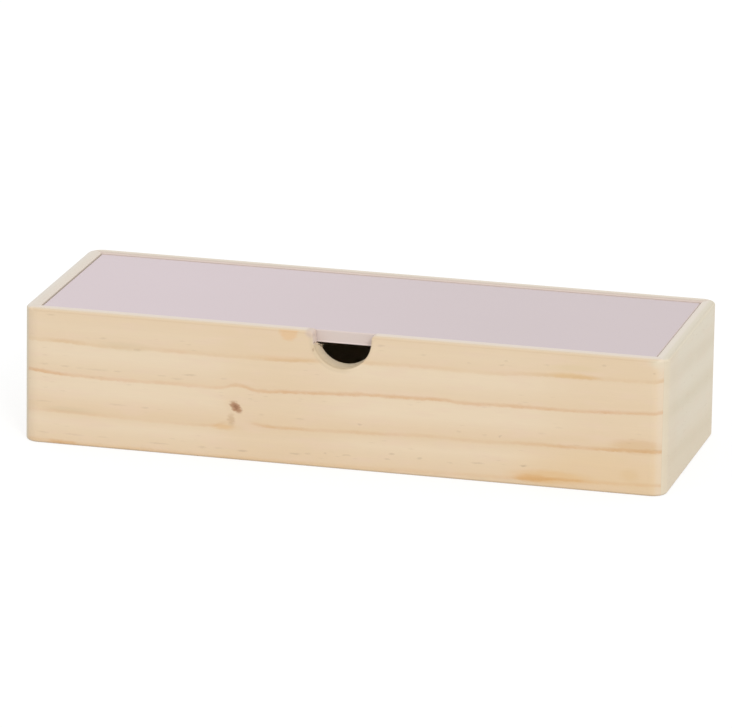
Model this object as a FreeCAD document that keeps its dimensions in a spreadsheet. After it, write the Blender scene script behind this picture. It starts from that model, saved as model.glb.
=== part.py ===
"""Long shallow pine box with a drop-in lid and a finger notch.

Four boards of one thickness are mitred at the corners. Each is rebated along its inner top edge, where the
lid lies, and grooved near its foot, where the bottom panel is held. A stopped spline locks each mitre.
Millimetres, +Z up, +X along the box, the notch in the board at -Y. The origin is the centre of the footprint,
on the surface that the box stands on.
"""

import FreeCAD, Part

import math
import os

import Sketcher

V = FreeCAD.Vector
UP = V(0, 0, 1)
NEAR = 1e-4

# Sizes, one row each: alias, value in millimetres, meaning
SIZES = [
    ("box_length", 300.0, "outside, along X"),
    ("box_width", 110.0, "outside, along Y"),
    ("box_height", 63.5, "foot to top edge"),
    ("wall_thickness", 10.0, "all four boards"),
    ("rim_thickness", 6.3, "what the rebate leaves of a board beside the lid"),
    ("corner_radius", 7.0, "upright outer corners"),
    ("edge_radius", 1.2, "outer edges at the top, at the foot and round the notch"),
    ("rim_bevel", 0.4, "bevel on the inner edge of the rim"),
    ("lid_thickness", 6.0, "painted panel"),
    ("lid_drop", 0.6, "top of the lid below the rim"),
    ("lid_clearance", 0.5, "gap all round the lid"),
    ("lid_edge_radius", 0.7, "sanded arrises of the lid"),
    ("notch_radius", 13.5, "round foot of the finger notch"),
    ("notch_centre_drop", 3.0, "centre of that round below the rim"),
    ("notch_corner_radius", 2.0, "top corners of the notch"),
    ("bottom_thickness", 4.0, "bottom panel"),
    ("bottom_recess", 5.0, "underside of the bottom panel above the foot"),
    ("groove_depth", 4.0, "groove for the bottom panel"),
    ("groove_play", 0.2, "how much wider the groove is than the bottom panel"),
    ("groove_end_gap", 0.5, "room for the bottom panel to grow at each side"),
    ("spline_thickness", 3.0, "along the mitre"),
    ("spline_width", 6.0, "across the mitre, half in each board"),
    ("spline_inset", 4.5, "centre of the spline from the inner corner, along the mitre"),
    ("spline_margin", 6.0, "wood between each end of the slot and the groove or the rebate"),
    ("spline_play", 0.3, "how much deeper each slot is than its half of the spline"),
    ("cut_overrun", 2.0, "how far every cut runs past the wood"),
]

# Levels and places that more than one piece needs, worked out from the sizes
SEAT_LEVEL = "Sizes.box_height - Sizes.lid_thickness - Sizes.lid_drop"
GROOVE_TOP = "Sizes.bottom_recess + Sizes.bottom_thickness + Sizes.groove_play"
SLOT_FOOT = f"{GROOVE_TOP} + Sizes.spline_margin"
SLOT_LENGTH = f"{SEAT_LEVEL} - Sizes.spline_margin - ({SLOT_FOOT})"

# A distance along the mitre has the same share along X and along Y
MITRE_ANGLE = 45
MITRE_SHARE = f"cos({MITRE_ANGLE} deg)"
ROUND_CORNER = f"Sizes.corner_radius * (1 - {MITRE_SHARE})"


def make_sheet(doc):
    """Write the sizes to the sheet, each with its alias."""
    sheet = doc.addObject("Spreadsheet::Sheet", "Sizes")
    for row, (alias, value, meaning) in enumerate(SIZES, start=1):
        sheet.set(f"A{row}", alias)
        sheet.set(f"B{row}", str(value))
        sheet.set(f"C{row}", meaning)
        sheet.setAlias(f"B{row}", alias)
    doc.recompute()


def size(item, expression):
    """Return the value that an expression on the sheet has now."""
    return float(item.evalExpression(expression))


def new_body(doc, label):
    """Return an empty body. Its label names its file."""
    body = doc.addObject("PartDesign::Body", label)
    body.Label = label
    return body


def new_sketch(body, name, role, level=None):
    """Return an empty sketch on one of a body's own origin planes, or raised above it by a level."""
    plane = next(item for item in body.Origin.OriginFeatures if item.Role == role)
    sketch = body.newObject("Sketcher::SketchObject", name)
    sketch.AttachmentSupport = [(plane, "")]
    sketch.MapMode = "FlatFace"
    if level is not None:
        sketch.setExpression("AttachmentOffset.Base.z", level)
    return sketch


def bind(sketch, kind, expression, *places):
    """Add a dimension to a sketch and bind it to the sheet."""
    constraint = Sketcher.Constraint(kind, *places, size(sketch, expression))
    sketch.setExpression(f"Constraints[{sketch.addConstraint(constraint)}]", expression)


def pin_point(sketch, curve, x, y):
    """Hold the start of a curve at a place that two expressions give."""
    for kind, expression, crossing_axis in (("DistanceX", x, -2), ("DistanceY", y, -1)):
        if expression == "0":
            sketch.addConstraint(Sketcher.Constraint("PointOnObject", curve, 1, crossing_axis))
        else:
            bind(sketch, kind, expression, -1, 1, curve, 1)


def outline(sketch, corners, rounds=None):
    """Draw a closed outline, counter-clockwise, through corners given as pairs of expressions.

    rounds gives the centre of each side that is an arc, by the number of the corner where it starts. Every
    arc runs counter-clockwise too.
    """
    rounds = rounds or {}
    points = [V(size(sketch, x), size(sketch, y), 0) for x, y in corners]
    curves = []
    for index, start in enumerate(points):
        end = points[(index + 1) % len(points)]
        if index in rounds:
            centre = V(*(size(sketch, expression) for expression in rounds[index]), 0)
            angles = [math.atan2(point.y - centre.y, point.x - centre.x) for point in (start, end)]
            circle = Part.Circle(centre, UP, start.distanceToPoint(centre))
            curves.append(sketch.addGeometry(Part.ArcOfCircle(circle, *angles)))
        else:
            curves.append(sketch.addGeometry(Part.LineSegment(start, end)))
    for curve, following in zip(curves, curves[1:] + curves[:1]):
        sketch.addConstraint(Sketcher.Constraint("Coincident", curve, 2, following, 1))
    for curve, (x, y) in zip(curves, corners):
        pin_point(sketch, curve, x, y)
    for index, (_, centre_y) in rounds.items():
        bind(sketch, "DistanceY", centre_y, -1, 1, curves[index], 3)


def rectangle(sketch, left, bottom, right, top):
    """Draw a rectangle between four expressions."""
    outline(sketch, [(left, bottom), (right, bottom), (right, top), (left, top)])


def pad(body, name, sketch, length):
    """Add wood above a sketch, by a length that follows the sheet."""
    feature = body.newObject("PartDesign::Pad", name)
    feature.Profile = sketch
    feature.setExpression("Length", length)
    return feature


def pocket(body, name, sketch, length, both_ways=False, along_normal=False):
    """Cut a sketch out of a body, by a length that follows the sheet."""
    feature = body.newObject("PartDesign::Pocket", name)
    feature.Profile = sketch
    feature.SideType = "Symmetric" if both_ways else "One side"
    feature.Reversed = along_normal
    feature.setExpression("Length", length)
    return feature


def fillet(body, name, radius, chosen):
    """Round the edges of a body's last feature for which chosen is true."""
    base = body.Tip
    body.Document.recompute()
    edges = [f"Edge{index}" for index, edge in enumerate(base.Shape.Edges, start=1) if chosen(edge)]
    if not edges:
        raise RuntimeError(f"{body.Label}: {name} found no edge")
    feature = body.newObject("PartDesign::Fillet", name)
    feature.Base = (base, edges)
    feature.setExpression("Radius", radius)
    return feature


def mitre_corner(run, along, out, side):
    """Return a place near the mitre of a board, as a pair of expressions.

    along is measured along the mitre, from its inner corner to its outer one, and out is measured across
    it, out of the board. side is 1 at the board's +X end and -1 at the other.
    """
    x = f"{side} * ({run} / 2 - Sizes.wall_thickness + ({along} + {out}) * {MITRE_SHARE})"
    y = f"Sizes.wall_thickness - ({along} - ({out})) * {MITRE_SHARE}"
    return x, y


def cut_spline_slots(body, run):
    """Cut the stopped slot in each mitred end of a board."""
    sketch = new_sketch(body, "SplineSlotPlan", "XY_Plane", SLOT_FOOT)
    near = "(Sizes.spline_inset - Sizes.spline_thickness / 2)"
    far = "(Sizes.spline_inset + Sizes.spline_thickness / 2)"
    deep = "(-Sizes.spline_width / 2 - Sizes.spline_play)"
    clear = "Sizes.cut_overrun"
    for side in (1, -1):
        corners = [
            mitre_corner(run, near, deep, side),
            mitre_corner(run, far, deep, side),
            mitre_corner(run, far, clear, side),
            mitre_corner(run, near, clear, side),
        ]
        outline(sketch, corners[::side])
    pocket(body, "SplineSlots", sketch, SLOT_LENGTH, along_normal=True)


def cut_finger_notch(body):
    """Cut the round-footed notch through the middle of a board, and round its two top corners."""
    sketch = new_sketch(body, "NotchOutline", "XZ_Plane")
    centre = "Sizes.box_height - Sizes.notch_centre_drop"
    above = "Sizes.box_height + Sizes.cut_overrun"
    corners = [
        ("Sizes.notch_radius", centre),
        ("Sizes.notch_radius", above),
        ("-Sizes.notch_radius", above),
        ("-Sizes.notch_radius", centre),
    ]
    outline(sketch, corners, {3: ("0", centre)})
    pocket(body, "FingerNotch", sketch, "Sizes.wall_thickness + Sizes.cut_overrun")

    def top_corner(edge):
        box = edge.BoundBox
        on_top = box.ZMin > size(body, "Sizes.box_height") - NEAR
        across = box.XLength < NEAR
        return on_top and across and abs(abs(box.XMin) - size(body, "Sizes.notch_radius")) < NEAR

    fillet(body, "NotchCorners", "Sizes.notch_corner_radius", top_corner)


def make_wall(doc, label, run, notched=False):
    """Make one board: mitred, rebated, grooved and slotted, with its outer edges rounded.

    The board lies along X, centred, with its outer face on Y = 0 and its inner face towards +Y. A notched
    board has its notch before the edges are rounded, so the round runs on through the notch.
    """
    body = new_body(doc, label)
    half = f"{run} / 2"
    round_x = f"({half} - Sizes.corner_radius)"

    plan = new_sketch(body, "MitredPlan", "XY_Plane")
    corners = [
        (f"-{round_x}", "0"),
        (round_x, "0"),
        (f"{half} - {ROUND_CORNER}", ROUND_CORNER),
        (f"{half} - Sizes.wall_thickness", "Sizes.wall_thickness"),
        (f"Sizes.wall_thickness - {half}", "Sizes.wall_thickness"),
        (f"{ROUND_CORNER} - {half}", ROUND_CORNER),
    ]
    rounds = {
        1: (round_x, "Sizes.corner_radius"),
        5: (f"-{round_x}", "Sizes.corner_radius"),
    }
    outline(plan, corners, rounds)
    pad(body, "Board", plan, "Sizes.box_height")

    inside = "Sizes.wall_thickness + Sizes.cut_overrun"
    above = "Sizes.box_height + Sizes.cut_overrun"
    whole_run = f"{run} + 2 * Sizes.cut_overrun"

    rebate = new_sketch(body, "RebateSection", "YZ_Plane")
    corners = [
        ("Sizes.rim_thickness", SEAT_LEVEL),
        (inside, SEAT_LEVEL),
        (inside, above),
        ("Sizes.rim_thickness - Sizes.rim_bevel - Sizes.cut_overrun", above),
        ("Sizes.rim_thickness", "Sizes.box_height - Sizes.rim_bevel"),
    ]
    outline(rebate, corners)
    pocket(body, "LidRebate", rebate, whole_run, both_ways=True)

    groove = new_sketch(body, "GrooveSection", "YZ_Plane")
    groove_floor = "Sizes.wall_thickness - Sizes.groove_depth"
    rectangle(groove, groove_floor, "Sizes.bottom_recess", inside, GROOVE_TOP)
    pocket(body, "BottomGroove", groove, whole_run, both_ways=True)

    cut_spline_slots(body, run)
    if notched:
        cut_finger_notch(body)

    def outer_edge(edge):
        box = edge.BoundBox
        flat = box.ZLength < NEAR and box.YMax < NEAR
        return flat and (box.ZMin < NEAR or box.ZMin > size(body, "Sizes.box_height") - NEAR)

    fillet(body, "OuterEdges", "Sizes.edge_radius", outer_edge)
    return body


def place(body, x, y, z, turn):
    """Put a body where three expressions say, turned about the upright by some degrees."""
    body.Placement = FreeCAD.Placement(V(0, 0, 0), FreeCAD.Rotation(UP, turn))
    for axis, expression in zip("xyz", (x, y, z)):
        body.setExpression(f"Placement.Base.{axis}", expression)


def make_walls(doc):
    """Make the four boards and stand them round the footprint."""
    front = make_wall(doc, "front_wall", "Sizes.box_length", notched=True)
    place(front, "0", "-Sizes.box_width / 2", "0", 0)
    back = make_wall(doc, "back_wall", "Sizes.box_length")
    place(back, "0", "Sizes.box_width / 2", "0", 180)
    left = make_wall(doc, "left_wall", "Sizes.box_width")
    place(left, "-Sizes.box_length / 2", "0", "0", -90)
    right = make_wall(doc, "right_wall", "Sizes.box_width")
    place(right, "Sizes.box_length / 2", "0", "0", 90)
    return [front, back, left, right]


def make_panel(doc, label, length, width, thickness, level):
    """Make a flat rectangular panel, centred on the box, with its underside at a level."""
    body = new_body(doc, label)
    plan = new_sketch(body, "Plan", "XY_Plane")
    rectangle(plan, f"-({length}) / 2", f"-({width}) / 2", f"({length}) / 2", f"({width}) / 2")
    pad(body, "Panel", plan, thickness)
    place(body, "0", "0", level, 0)
    return body


def make_bottom(doc):
    """Make the bottom panel, which reaches into the grooves and lies on their lower sides."""
    reach = "2 * (Sizes.groove_depth - Sizes.groove_end_gap - Sizes.wall_thickness)"
    length = f"Sizes.box_length + {reach}"
    width = f"Sizes.box_width + {reach}"
    return make_panel(doc, "bottom_panel", length, width, "Sizes.bottom_thickness", "Sizes.bottom_recess")


def make_lid(doc):
    """Make the painted lid, which lies on the rebates inside the rim."""
    inset = "2 * (Sizes.rim_thickness + Sizes.lid_clearance)"
    length = f"Sizes.box_length - {inset}"
    width = f"Sizes.box_width - {inset}"
    lid = make_panel(doc, "lid_panel", length, width, "Sizes.lid_thickness", SEAT_LEVEL)
    fillet(lid, "SandedArrises", "Sizes.lid_edge_radius", lambda edge: True)
    return lid


def make_splines(doc):
    """Make the stopped spline of each mitre and stand it in its slots."""
    inset = f"Sizes.wall_thickness - Sizes.spline_inset * {MITRE_SHARE}"
    splines = []
    for y_name, y_side in (("front", -1), ("back", 1)):
        for x_name, x_side in (("left", -1), ("right", 1)):
            body = new_body(doc, f"spline_{y_name}_{x_name}")
            section = new_sketch(body, "Section", "XY_Plane")
            half = ("Sizes.spline_thickness / 2", "Sizes.spline_width / 2")
            rectangle(section, f"-{half[0]}", f"-{half[1]}", *half)
            pad(body, "Spline", section, SLOT_LENGTH)
            x = f"{x_side} * (Sizes.box_length / 2 - ({inset}))"
            y = f"{y_side} * (Sizes.box_width / 2 - ({inset}))"
            place(body, x, y, SLOT_FOOT, MITRE_ANGLE * x_side * y_side)
            splines.append(body)
    return splines


def check(doc, bodies):
    """Raise an error if anything failed to build, lost its dimensions or cut nothing."""
    for item in doc.Objects:
        if {"Invalid", "Error"} & set(item.State):
            raise RuntimeError(f"{item.Label}: {item.State}")
        if item.TypeId == "Sketcher::SketchObject" and not item.FullyConstrained:
            raise RuntimeError(f"{item.Label}: the sketch isn't fully dimensioned")
        if item.TypeId == "PartDesign::Pocket":
            removed = item.BaseFeature.Shape.Volume - item.Shape.Volume
            if removed < NEAR:
                raise RuntimeError(f"{item.Label}: the cut took nothing away")
    for body in bodies:
        if body.Shape.isNull() or not body.Shape.isValid() or len(body.Shape.Solids) != 1:
            raise RuntimeError(f"{body.Label}: not one valid solid")


def main():
    """Build every piece, check it and write its file."""
    doc = FreeCAD.newDocument("notched_lid_box")
    make_sheet(doc)
    bodies = [*make_walls(doc), make_bottom(doc), make_lid(doc), *make_splines(doc)]
    doc.recompute()
    check(doc, bodies)
    os.makedirs("parts", exist_ok=True)
    for body in bodies:
        body.Shape.exportStep(f"parts/{body.Label}.step")
        box = body.Shape.BoundBox
        extents = f"{box.XLength:.2f} x {box.YLength:.2f} x {box.ZLength:.2f}"
        print(f"{body.Label}: {extents} mm, {body.Shape.Volume / 1000:.2f} cm3")


main()
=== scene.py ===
"""Looks of a long pine box with mitred corners, a finger notch and a painted lid that drops in.

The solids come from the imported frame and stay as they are. This script gives each one its finish, adds the
torn fibres that the saw left in the notch, and sets the box in a plain studio, seen as in the photograph.
"""
import logging
import math
from dataclasses import dataclass, field, replace
from enum import Enum
from typing import Any

import bpy
from mathutils import Matrix, Vector


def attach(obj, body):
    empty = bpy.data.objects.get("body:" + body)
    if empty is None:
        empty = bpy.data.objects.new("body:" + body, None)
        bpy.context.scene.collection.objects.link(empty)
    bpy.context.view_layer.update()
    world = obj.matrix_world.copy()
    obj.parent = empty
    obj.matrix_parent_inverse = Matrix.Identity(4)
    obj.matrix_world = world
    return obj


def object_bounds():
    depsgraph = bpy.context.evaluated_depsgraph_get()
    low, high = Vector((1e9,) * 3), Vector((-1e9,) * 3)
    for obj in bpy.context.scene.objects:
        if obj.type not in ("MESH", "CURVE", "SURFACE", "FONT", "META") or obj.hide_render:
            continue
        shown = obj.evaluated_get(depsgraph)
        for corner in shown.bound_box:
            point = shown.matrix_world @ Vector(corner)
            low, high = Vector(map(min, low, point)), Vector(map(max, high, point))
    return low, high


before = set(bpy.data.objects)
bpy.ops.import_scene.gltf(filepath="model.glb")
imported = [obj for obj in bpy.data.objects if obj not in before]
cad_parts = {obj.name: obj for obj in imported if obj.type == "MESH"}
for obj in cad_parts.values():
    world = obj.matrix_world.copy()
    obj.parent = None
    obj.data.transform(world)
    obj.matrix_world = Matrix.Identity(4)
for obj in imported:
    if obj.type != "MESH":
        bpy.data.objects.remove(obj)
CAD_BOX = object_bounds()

log = logging.getLogger("pine_box")

MM = 0.001

# Half the box's length and width, and its height, in millimetres as all sizes here but the studio's
HALF_LENGTH, HALF_WIDTH, HEIGHT = (round(value / MM, 3) for value in CAD_BOX[1])

# What the rebate leaves of a board beside the lid, the lid's play round it, and the level that it lies on
RIM_THICKNESS = 6.3
LID_PLAY = 0.5
SEAT_LEVEL = 56.9

# Half the height of a resin channel
MARK_HEIGHT = 0.5

# The index of refraction of lacquer and of paint
COAT_IOR = 1.45

Colour = tuple[float, float, float, float]
Point = tuple[float, float]
Place = tuple[float, float, float]
Settings = dict[str, Any]
Sockets = dict[str | int, Any]

WHITE: Colour = (1.0, 1.0, 1.0, 1.0)


def paint(red: float, green: float, blue: float) -> Colour:
    """Turn a colour as a screen shows it into the linear one that a shader takes.

    Args:
        red: Red, from 0 to 255.
        green: Green, from 0 to 255.
        blue: Blue, from 0 to 255.

    Returns:
        The linear colour, with an alpha of 1.
    """
    shares = (value / 255 for value in (red, green, blue))
    linear = [share / 12.92 if share <= 0.04045 else ((share + 0.055) / 1.055) ** 2.4 for share in shares]
    return (linear[0], linear[1], linear[2], 1.0)


class Run(Enum):
    """Which way a board's grain runs."""

    LENGTHWISE = ("X", "Y", HALF_LENGTH, HALF_WIDTH)
    CROSSWISE = ("Y", "X", HALF_WIDTH, HALF_LENGTH)

    def __init__(self, along: str, across: str, half: float, outside: float) -> None:
        """Name the values.

        Args:
            along: The coordinate along the board.
            across: The coordinate through its thickness.
            half: Half the board's length.
            outside: How far the board's outer face is from the box's middle.
        """
        self.along = along
        self.across = across
        self.half = half
        self.outside = outside


@dataclass(frozen=True)
class Wire:
    """One output of a shader tree. Arithmetic on it adds Math nodes.

    Attributes:
        recipe: The tree that the output is in.
        socket: The output socket.
    """

    recipe: "Recipe"
    socket: bpy.types.NodeSocket

    def math(self, operation: str, *values: "Wire | float") -> "Wire":
        """Add one Math node on values given in the order of its sockets."""
        return self.recipe.node("ShaderNodeMath", {"operation": operation}, dict(enumerate(values)))

    def output(self, key: str | int) -> "Wire":
        """Give another output of the same node, by name or by place."""
        return Wire(self.recipe, self.socket.node.outputs[key])

    def __add__(self, other: "Wire | float") -> "Wire":
        """Sum."""
        return self.math("ADD", self, other)

    def __radd__(self, other: float) -> "Wire":
        """Sum with a number first."""
        return self.math("ADD", other, self)

    def __sub__(self, other: "Wire | float") -> "Wire":
        """Difference."""
        return self.math("SUBTRACT", self, other)

    def __rsub__(self, other: float) -> "Wire":
        """Difference with a number first."""
        return self.math("SUBTRACT", other, self)

    def __mul__(self, other: "Wire | float") -> "Wire":
        """Product."""
        return self.math("MULTIPLY", self, other)

    def __rmul__(self, other: float) -> "Wire":
        """Product with a number first."""
        return self.math("MULTIPLY", other, self)

    def __truediv__(self, other: "Wire | float") -> "Wire":
        """Quotient."""
        return self.math("DIVIDE", self, other)

    def __abs__(self) -> "Wire":
        """Size without sign."""
        return self.math("ABSOLUTE", self)

    def at_most(self, other: "Wire | float") -> "Wire":
        """The smaller of the two."""
        return self.math("MINIMUM", self, other)

    def at_least(self, other: "Wire | float") -> "Wire":
        """The larger of the two."""
        return self.math("MAXIMUM", self, other)

    def bell(self) -> "Wire":
        """Fall from 1 at zero to nothing a little past 2, the same on both sides."""
        return self.math("EXPONENT", (self * self) * -1.0)

    def step(self, start: float, end: float) -> "Wire":
        """Rise smoothly from 0 at start to 1 at end, or fall if start is the larger."""
        sockets = {"Value": self, "From Min": start, "From Max": end}
        return self.recipe.node("ShaderNodeMapRange", {"interpolation_type": "SMOOTHSTEP"}, sockets)


Number = Wire | float
Tint = Wire | Colour


class Recipe:
    """A node tree that is written as expressions."""

    def __init__(self, tree: bpy.types.NodeTree) -> None:
        """Take over a tree and empty it.

        Args:
            tree: The tree of a material, of the world or of the splinters.
        """
        self.tree = tree
        tree.nodes.clear()

    def node(self, kind: str, settings: Settings | None = None, inputs: Sockets | None = None) -> Wire:
        """Add any node.

        Args:
            kind: The node's type.
            settings: Its settings, which are set first. stops is a ramp's list of place and colour, and
                points is a curve's list of places.
            inputs: Its sockets, by name or place, each with a value or a wire.

        Returns:
            Its first output, or its first input if it has no output.
        """
        made = self.tree.nodes.new(kind)
        for name, value in (settings or {}).items():
            if name == "stops":
                fill_ramp(made.color_ramp, value)
            elif name == "points":
                fill_curve(made.mapping, value)
            else:
                setattr(made, name, value)
        for key, value in (inputs or {}).items():
            if isinstance(value, Wire):
                self.tree.links.new(value.socket, made.inputs[key])
            else:
                made.inputs[key].default_value = value
        return Wire(self, made.outputs[0]) if made.outputs else Wire(self, made.inputs[0])

    def vector_math(self, operation: str, inputs: Sockets) -> Wire:
        """Add one Vector Math node."""
        return self.node("ShaderNodeVectorMath", {"operation": operation}, inputs)

    def scale(self, vector: Wire, factor: float) -> Wire:
        """Scale a vector."""
        return self.vector_math("SCALE", {0: vector, "Scale": factor})

    def place(self) -> Wire:
        """Give the place on the piece in millimetres, as a vector."""
        return self.scale(self.node("ShaderNodeTexCoord").output("Object"), 1 / MM)

    def split(self, vector: Wire) -> dict[str, Wire]:
        """Take a vector apart into its parts, named X, Y and Z."""
        parts = self.node("ShaderNodeSeparateXYZ", inputs={0: vector})
        return {axis: parts.output(axis) for axis in "XYZ"}

    def join(self, x: Number, y: Number, z: Number = 0.0) -> Wire:
        """Make a vector of three values."""
        return self.node("ShaderNodeCombineXYZ", inputs={0: x, 1: y, 2: z})

    def noise(self, vector: Wire, detail: float = 2.0, roughness: float = 0.5) -> Wire:
        """Give soft noise, nearly all within 0.5 of zero, with about 1 cell per unit of the vector."""
        inputs = {"Vector": vector, "Scale": 1.0, "Detail": detail, "Roughness": roughness}
        return self.node("ShaderNodeTexNoise", inputs=inputs) - 0.5

    def length(self, vector: Wire) -> Wire:
        """Give the length of a vector."""
        return self.vector_math("LENGTH", {0: vector}).output("Value")

    def spread(self, place: Wire, at: Place, reach: Place) -> Wire:
        """Say how far a place is from the middle of an egg shape, where 1 is on its surface.

        Args:
            place: The place, as a vector.
            at: The shape's middle.
            reach: Half its size along each axis, which may be endless.

        Returns:
            The distance.
        """
        scaled = self.vector_math("MULTIPLY", {0: place, 1: tuple(1 / size for size in reach)})
        middle = tuple(value / size for value, size in zip(at, reach))
        return self.vector_math("DISTANCE", {0: scaled, 1: middle}).output("Value")

    def blend(self, factor: Number, first: Tint, second: Tint, mode: str = "MIX") -> Wire:
        """Blend two colours.

        Args:
            factor: How much of the second there is.
            first: The colour below.
            second: The colour above.
            mode: The blend mode.

        Returns:
            The blended colour.
        """
        settings = {"data_type": "RGBA", "blend_type": mode, "clamp_factor": True}
        return self.node("ShaderNodeMix", settings, {0: factor, 6: first, 7: second}).output(2)

    def shaded(self, colour: Tint, shade: Wire) -> Wire:
        """Multiply a colour by a brightness."""
        return self.blend(1.0, colour, self.join(shade, shade, shade), "MULTIPLY")

    def curve(self, value: Wire, points: tuple[Point, ...]) -> Wire:
        """Read a smooth curve drawn through points.

        Args:
            value: Where it is read.
            points: Its points, in rising order, in the units of value and of the result.

        Returns:
            The curve's height there.
        """
        start, end = points[0][0], points[-1][0]
        heights = [height for _, height in points]
        low = min(heights)
        span = (max(heights) - low) or 1.0
        shares = [((at - start) / (end - start), (height - low) / span) for at, height in points]
        share_along = (value - start) / (end - start)
        return self.node("ShaderNodeFloatCurve", {"points": shares}, {"Value": share_along}) * span + low

    def bump(self, height: Wire, strength: float = 0.5) -> Wire:
        """Turn a height in millimetres into a normal."""
        sockets = {"Height": height * MM, "Distance": 1.0, "Strength": strength}
        return self.node("ShaderNodeBump", inputs=sockets)

    def surface(self, inputs: Sockets) -> None:
        """Make the shader of these sockets and send it to the output."""
        shader = self.node("ShaderNodeBsdfPrincipled", inputs=inputs)
        self.node("ShaderNodeOutputMaterial", inputs={"Surface": shader})


def fill_ramp(ramp: bpy.types.ColorRamp, stops: list[tuple[float, Colour]]) -> None:
    """Give a colour ramp its stops.

    Args:
        ramp: The ramp, with the two stops that it is made with.
        stops: Place from 0 to 1 and colour, in rising order.
    """
    while len(ramp.elements) < len(stops):
        ramp.elements.new(1.0)
    for element, (at, colour) in zip(ramp.elements, stops):
        element.position = at
        element.color = colour


def fill_curve(mapping: bpy.types.CurveMapping, points: list[Point]) -> None:
    """Give a curve its points.

    Args:
        mapping: The curve, with the two points that it is made with.
        points: Places from 0 to 1, in rising order.
    """
    line = mapping.curves[0]
    while len(line.points) < len(points):
        line.points.new(1.0, 1.0)
    for point, place in zip(line.points, points):
        point.location = place
        point.handle_type = "AUTO_CLAMPED"
    mapping.update()


def new_material(name: str) -> bpy.types.Material:
    """Make an empty material with nodes."""
    material = bpy.data.materials.new(name)
    material.use_nodes = True
    return material


CREAM = paint(233, 213, 184)
STRAW = paint(230, 208, 177)
SAND = paint(229, 205, 173)
TAN = paint(227, 202, 168)
BLUSH = paint(231, 205, 180)
LATE_WOOD = paint(212, 160, 108)
BROWN = paint(172, 126, 92)
DARK_BROWN = paint(140, 96, 66)
GREY_BROWN = paint(184, 160, 130)
# Dark tones painted as shadow in the notch: in the gap under the lid's lower edge, and in the torn hollow
GAP_SHADOW_BROWN = paint(120, 88, 66)
HOLLOW_SHADOW_DARK = paint(40, 24, 18)

# The share of each colour that an arris keeps under its painted shade
SHADED_ARRIS = (0.915, 0.9, 0.875, 1.0)


@dataclass(frozen=True)
class Pattern:
    """A random pattern in wood.

    Attributes:
        along: How long its cells are, along the grain.
        across: How wide they are.
        shift: What sets it apart from other patterns.
        detail: How much finer detail it has.
        roughness: How strong that detail is.
    """

    along: float
    across: float
    shift: float = 0.0
    detail: float = 2.0
    roughness: float = 0.5

    def draw(self, along: Wire, across: Wire, seed: Number) -> Wire:
        """Give the pattern's value at a place, around zero."""
        cells = along.recipe.join(along / self.along, across / self.across, seed + self.shift)
        return along.recipe.noise(cells, self.detail, self.roughness)


# What wavers the grain, frays the borders of patches, and makes colours come and go
SLOW_WAVER = Pattern(34.0, 22.0, 3.1, detail=1.0)
QUICK_WAVER = Pattern(4.0, 2.0, 5.7, detail=3.0, roughness=0.6)
FRAYING = Pattern(2.6, 1.1, 2.0)
PATCHES = Pattern(9.0, 9.0, 9.4)
ROUGHENING = Pattern(1.9, 0.8, 4.4)
CLOUDS = Pattern(45.0, 14.0, 7.7)
ROSY_SPOTS = Pattern(18.0, 4.5, 11.9, detail=1.0)
STRETCHES = Pattern(30.0, 9.0, 7.9, detail=1.0)

# The fine grain of lacquered pine, and of bare wood
STREAKS = Pattern(70.0, 1.5, detail=3.0)
FIBRES = Pattern(9.0, 0.3, detail=3.0)
BARE_STREAKS = Pattern(60.0, 4.0, detail=4.0)
BARE_FIBRES = Pattern(5.0, 0.3)


@dataclass(frozen=True)
class Spot:
    """The spot on a board that a shader colours.

    Attributes:
        recipe: The tree.
        along: Place along the board from halfway.
        up: Height.
        depth: How far in from the board's outer face.
        grain: The height that the grain here has on the outer face, with its waver.
        place: Place along the board, up by the grain, and inwards, as a vector that is ragged enough for the
            borders of patches.
    """

    recipe: Recipe
    along: Wire
    up: Wire
    depth: Wire
    grain: Wire
    place: Wire


@dataclass(frozen=True)
class Tinge:
    """A colour that sets in as some measure passes from one value to another.

    Attributes:
        colour: The colour.
        strength: How much of it there is where it is full.
        turn: The measure where it starts and the one where it is full.
    """

    colour: Colour
    strength: float
    turn: Point

    def lay(self, colour: Tint, measure: Wire) -> Wire:
        """Lay it over a colour, by a measure."""
        return measure.recipe.blend(measure.step(*self.turn) * self.strength, colour, self.colour)


# The joint line between two boards, by the distance from the mitre
MITRE_LINE = Tinge(BROWN, 0.14, (0.2, 0.06))


@dataclass(frozen=True)
class Stain:
    """A patch of another colour in a board, long with the grain.

    Attributes:
        at: Its middle: along the board from halfway, and up from the lower edge.
        reach: How far it reaches each way, along and up.
        colour: Its colour.
        strength: How much of that colour its middle takes.
        softness: How wide its border is, where 0 is sharp and 2 fades from the middle on.
        depth: How far in from the outer face its middle is.
        depth_reach: How far it reaches inwards and outwards.
    """

    at: Point
    reach: Point
    colour: Colour
    strength: float
    softness: float = 1.2
    depth: float = 0.0
    depth_reach: float = math.inf

    def lay(self, colour: Wire, spot: Spot) -> Wire:
        """Lay the patch over a colour.

        Args:
            colour: The colour below.
            spot: The spot on the board.

        Returns:
            The colour with the patch on it.
        """
        far = spot.recipe.spread(spot.place, (*self.at, self.depth), (*self.reach, self.depth_reach))
        turn = (1.0 + self.softness / 2, 1.0 - self.softness / 2)
        return Tinge(self.colour, self.strength, turn).lay(colour, far)


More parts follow.
